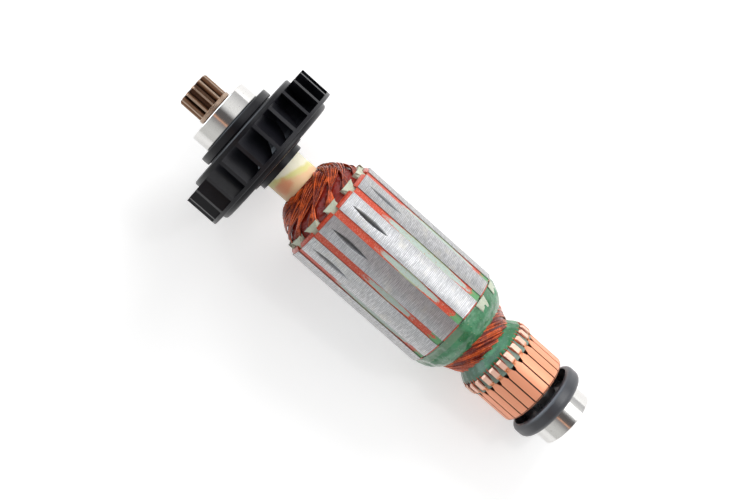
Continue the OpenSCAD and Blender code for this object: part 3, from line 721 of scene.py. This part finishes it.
def add_collar():
    """Resin over the coils at the commutator end; it creeps over the paper's ends to the core."""
    top = Z_CORE - 0.55
    outline = [(12.55, Z_COLLAR - 0.6), (13.3, Z_COLLAR), (14.5, Z_COLLAR + 1.3),
               (15.9, Z_COLLAR + 3.2), (16.7, top - 1.6), (17.0, top - 0.5), (16.9, top)]
    inner = [(12.2, top), (12.2, Z_COLLAR - 0.6)]

    def bulge(point, degrees, z):
        slot = ((degrees - SLOT_PHASE) / SLOT_PITCH + 0.5) % 1 - 0.5
        over_slot = math.exp(-(slot / 0.20) ** 2)
        near_core = min(1.0, max(0.0, (z - (Z_COLLAR + 3.0)) / 2.5))
        edge = min(1.0, max(0.0, (Z_COLLAR + 3.0 - z) / 3.0))
        return (0.35 * lumps(point, 3.5) + 0.16 * lumps(point, 1.3, 5.0)
                + near_core * (0.35 * over_slot - 0.3) + edge * 0.35 * lumps(point, 5.0, 9.0))

    return add_lathed("resin_collar_cast", outline, inner, materials["green_resin"],
                      bulge)


def add_paper_ends():
    """Ends of the slot paper that stay uncovered by the resin, on two neighbouring slots."""
    rows, columns = 6, 9
    side_count = rows * columns
    thick = 0.22
    vertices, faces = [], []
    for slot, long in ((10, 3.6), (11, 3.2)):
        degrees = SLOT_PHASE + SLOT_PITCH * slot
        first = len(vertices)
        last = first + columns * (rows - 1)
        for depth in (0.0, thick):
            for i in range(rows):
                z = Z_CORE - 0.6 - long * i / (rows - 1)
                for j in range(columns):
                    side = (j / (columns - 1) - 0.5) * (15.5 - 0.9 * i)
                    wave = 0.10 * lumps((side, z, degrees), 1.7)
                    radius = 17.25 - 0.10 * i - 0.022 * i * i + wave - depth
                    vertices.append(polar_point(radius, degrees + side, z))
        for a in (first + columns * i + j for i in range(rows - 1) for j in range(columns - 1)):
            b = a + side_count
            faces.append((a, a + 1, a + columns + 1, a + columns))
            faces.append((b, b + columns, b + columns + 1, b + 1))
        rim = ([first + j for j in range(columns)]
               + [first + columns * i + columns - 1 for i in range(1, rows)]
               + [last + j for j in range(columns - 2, -1, -1)]
               + [first + columns * i for i in range(rows - 2, 0, -1)])
        for a, b in zip(rim, rim[1:] + rim[:1]):
            faces.append((b, a, a + side_count, b + side_count))
    add_piece("paper_ends", vertices, faces, materials["liner_paper"])


def add_neck():
    """Resin cast round the leads beside the hooks."""
    outline = [(12.15, Z_NECK + 0.02), (12.5, Z_NECK + 0.25), (12.35, Z_NECK + 0.9),
               (11.6, Z_NECK + 2.1), (10.9, Z_NECK + 3.1), (10.5, Z_LEADS + 0.1),
               (10.1, Z_LEADS + 0.35)]
    inner = [(9.3, Z_LEADS), (9.3, Z_NECK + 0.02)]

    def bulge(point, degrees, z):
        return (0.22 * lumps(point, 3.6, 2.0) + 0.05 * lumps(point, 1.2, 4.0)
                + 0.06 * math.cos(math.radians((degrees - BAR_PHASE) * BARS)))

    return add_lathed("resin_neck_cast", outline, inner, make_green_resin("neck_resin", 0.2),
                      bulge)


def add_wire_ends():
    """The two wire ends that are fused under every hook and stand out of it."""
    wires = []
    for k in range(BARS):
        for side in (-1, 1):
            centre = BAR_PHASE + BAR_PITCH * k + side * 4.6 + random.uniform(-0.5, 0.5)
            inner = BAR_PHASE + BAR_PITCH * k + side * 3.6
            points = np.array([
                polar_point(12.1, centre - side * 1.0, Z_BARS_TOP + 1.0),
                polar_point(12.55, centre, Z_BARS_TOP + 0.2),
                polar_point(12.62, centre, Z_BARS_TOP - 1.2),
                polar_point(12.5, inner, Z_BARS_TOP - 2.6),
                polar_point(12.2, inner - side * 0.8, Z_BARS_TOP - 3.4)])
            tint = random.uniform(0.25, 0.75)
            wires.append((smooth_path(points, 3), END_WIRE, tint))
    add_wires("hook_wire_ends", wires)


def add_slot_bundles():
    """The wire that fills the slots, from the varnished head to the collar."""
    shape = [(10.9, -0.65), (13.5, -1.4), (15.6, -1.9), (15.6, 1.9), (13.5, 1.4), (10.9, 0.65)]
    vertices, faces = [], []
    for slot in range(SLOTS):
        a = math.radians(SLOT_PHASE + SLOT_PITCH * slot)
        first = len(vertices)
        for z in (Z_CORE - 2.2, Z_CORE_TOP + 1.6):
            for x, y in shape:
                vertices.append((x * math.cos(a) - y * math.sin(a),
                                 x * math.sin(a) + y * math.cos(a), z))
        n = len(shape)
        faces += [(first + j, first + (j + 1) % n, first + n + (j + 1) % n, first + n + j)
                  for j in range(n)]
        faces.append(tuple(first + j for j in range(n)))
        faces.append(tuple(first + n + j for j in range(n)))
    return add_piece("slot_bundles", vertices, faces, varnish)


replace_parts(add_slot_bundles(), "winding")
add_head_varnish()
add_head_wires()
add_lead_wires()
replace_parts(add_collar(), "resin_collar")
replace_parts(add_neck(), "resin_neck")
add_paper_ends()
add_wire_ends()

# ------------------------------------------------------------------ camera

# Metres, and radians: the camera looks down from in front and is turned about its line of sight
TILT = math.radians(6.65)
ROLL = math.radians(48.5025)
AIM = Vector((0.0, 0.0, 0.080))
DISTANCE = 0.427
ahead = Vector((0, math.cos(TILT), -math.sin(TILT)))
across = Vector((1, 0, 0))
upright = Vector((0, math.sin(TILT), math.cos(TILT)))
right = math.cos(ROLL) * across - math.sin(ROLL) * upright
up = math.sin(ROLL) * across + math.cos(ROLL) * upright
turn = Matrix((right, up, -ahead)).transposed().to_4x4()
camera = bpy.data.objects.new("camera", bpy.data.cameras.new("camera"))
camera.data.lens = 67.5
camera.data.sensor_width = 36
camera.data.clip_start = 0.01
camera.data.clip_end = 20
camera.matrix_world = Matrix.Translation(AIM - DISTANCE * ahead) @ turn
bpy.context.scene.collection.objects.link(camera)
bpy.context.scene.camera = camera

# ------------------------------------------------------------------ stage and light

# The room round the armature as its metal reflects it: degrees from the front towards +X
ROOM = [
    (-180, (0.62, 0.62, 0.62)), (-105, (0.70, 0.70, 0.69)), (-62, (0.76, 0.76, 0.75)),
    (-40, (0.62, 0.62, 0.61)), (-26, (0.36, 0.35, 0.35)), (-19.5, (0.26, 0.25, 0.25)),
    (-18, (1.1, 0.58, 0.36)), (-15, (1.1, 0.58, 0.36)), (-13.5, (0.13, 0.12, 0.12)),
    (10, (0.13, 0.12, 0.12)), (18, (0.60, 0.60, 0.61)), (27, (1.0, 1.0, 1.0)),
    (45, (1.0, 1.0, 1.0)), (60, (0.90, 0.90, 0.91)), (80, (0.68, 0.68, 0.69)),
    (100, (0.50, 0.50, 0.51)), (180, (0.62, 0.62, 0.62)),
]
# The bright ceiling over it, and the rise of a direction, as a sine, in which it takes over
SKY = (3.2, 3.6, 4.0)
SKY_LOW, SKY_HIGH = 0.45, 0.8
# Even light from all round, and what the table adds to its own colour where it is seen
FILL = 0.55
TABLE_GLOW = 0.36


def any_ray(tree, *kinds):
    """1 for the rays of the given kinds, and 0 for the others."""
    path = tree.add("LightPath")
    share = path.outputs[kinds[0]]
    for kind in kinds[1:]:
        share = tree.math("MAXIMUM", share, path.outputs[kind])
    return share


def white_table():
    """The white table on which the armature lies in the photograph. It is clear from behind."""
    p = Paint("table_white", (0.9, 0.9, 0.9), Roughness=0.9, Specular_IOR_Level=0.0)
    own = p.shader.outputs[0]
    glow = p.add("Emission", (1, 1, 1), TABLE_GLOW).outputs[0]
    bright = p.add("AddShader", own, glow).outputs[0]
    shown = any_ray(p, "Is Camera Ray", "Is Glossy Ray", "Is Transmission Ray")
    front = p.mix_shaders(shown, own, bright)
    clear = p.add("BsdfTransparent").outputs[0]
    behind = p.add("NewGeometry").outputs["Backfacing"]
    p.set(p.nodes["Material Output"].inputs["Surface"], p.mix_shaders(behind, front, clear))
    # Metres: a plane along the sides of the guard ring and the fan away from the camera
    slope = 0.1164
    ring_y, ring_z = 0.0129, 0.009
    half = 1.5
    corners = [(x, ring_y + (z - ring_z) * slope, z) for x, z in
               ((-half, -half), (half, -half), (half, half), (-half, half))]
    mesh = bpy.data.meshes.new("table")
    mesh.from_pydata(corners, [], [(0, 1, 2, 3)])
    mesh.materials.append(p.mat)
    table = bpy.data.objects.new("table", mesh)
    bpy.context.scene.collection.objects.link(table)


def studio_world():
    """White to the camera, even light, and for reflections the room with its ceiling."""
    world = bpy.data.worlds.new("studio")
    world.use_nodes = True
    bpy.context.scene.world = world
    tree = Nodes(world.node_tree)
    tree.nodes.clear()
    direction = tree.add("TexCoord").outputs["Generated"]
    x, y, z = tree.add("SeparateXYZ", direction).outputs
    angle = tree.math("ARCTAN2", x, tree.times(y, -1.0))
    ramp = tree.add("ValToRGB", tree.add("MapRange", angle, -math.pi, math.pi).outputs[0])
    stops = ramp.color_ramp.elements
    while len(stops) > 1:
        stops.remove(stops[-1])
    for k, (degrees, color) in enumerate(ROOM):
        stop = stops[0] if k == 0 else stops.new((degrees + 180) / 360)
        stop.position = (degrees + 180) / 360
        stop.color = (*color, 1)
    seen = tree.mix(tree.step(z, SKY_LOW, SKY_HIGH), ramp.outputs[0], SKY)
    room = tree.add("Background", seen).outputs[0]
    white = tree.add("Background", (1, 1, 1)).outputs[0]
    fill = tree.add("Background", (1, 1, 1), FILL).outputs[0]
    mirrored = any_ray(tree, "Is Glossy Ray", "Is Transmission Ray")
    surface = tree.mix_shaders(mirrored, fill, room)
    surface = tree.mix_shaders(any_ray(tree, "Is Camera Ray"), surface, white)
    tree.add("OutputWorld", surface)


def softbox(name, azimuth, elevation, distance, width, height, power,
            centre=(0, 0, 0.08), glossy=True):
    """An area light; azimuth 0 is in front of the armature and 90 is at +X."""
    light = bpy.data.lights.new(name, "AREA")
    light.shape = "RECTANGLE"
    light.size = width
    light.size_y = height
    light.energy = power
    obj = bpy.data.objects.new(name, light)
    bpy.context.scene.collection.objects.link(obj)
    a = math.radians(azimuth)
    e = math.radians(elevation)
    back = Vector((math.sin(a) * math.cos(e), -math.cos(a) * math.cos(e), math.sin(e)))
    obj.location = Vector(centre) + back * distance
    obj.rotation_mode = "QUATERNION"
    obj.rotation_quaternion = (-back).to_track_quat("-Z", "Y")
    obj.visible_camera = False
    obj.visible_glossy = glossy


studio_world()
white_table()
# Degrees, metres and watts
softbox("key", azimuth=40, elevation=0, distance=0.75, width=0.46, height=0.5, power=1.3,
        centre=(0, 0, -0.2))
softbox("lamp", azimuth=30, elevation=0, distance=0.75, width=0.05, height=0.07, power=0.25,
        centre=(0, 0, -0.1))
softbox("side", azimuth=62, elevation=14, distance=0.7, width=0.3, height=0.3, power=3.0,
        glossy=False)
bpy.context.scene.view_settings.view_transform = "Standard"
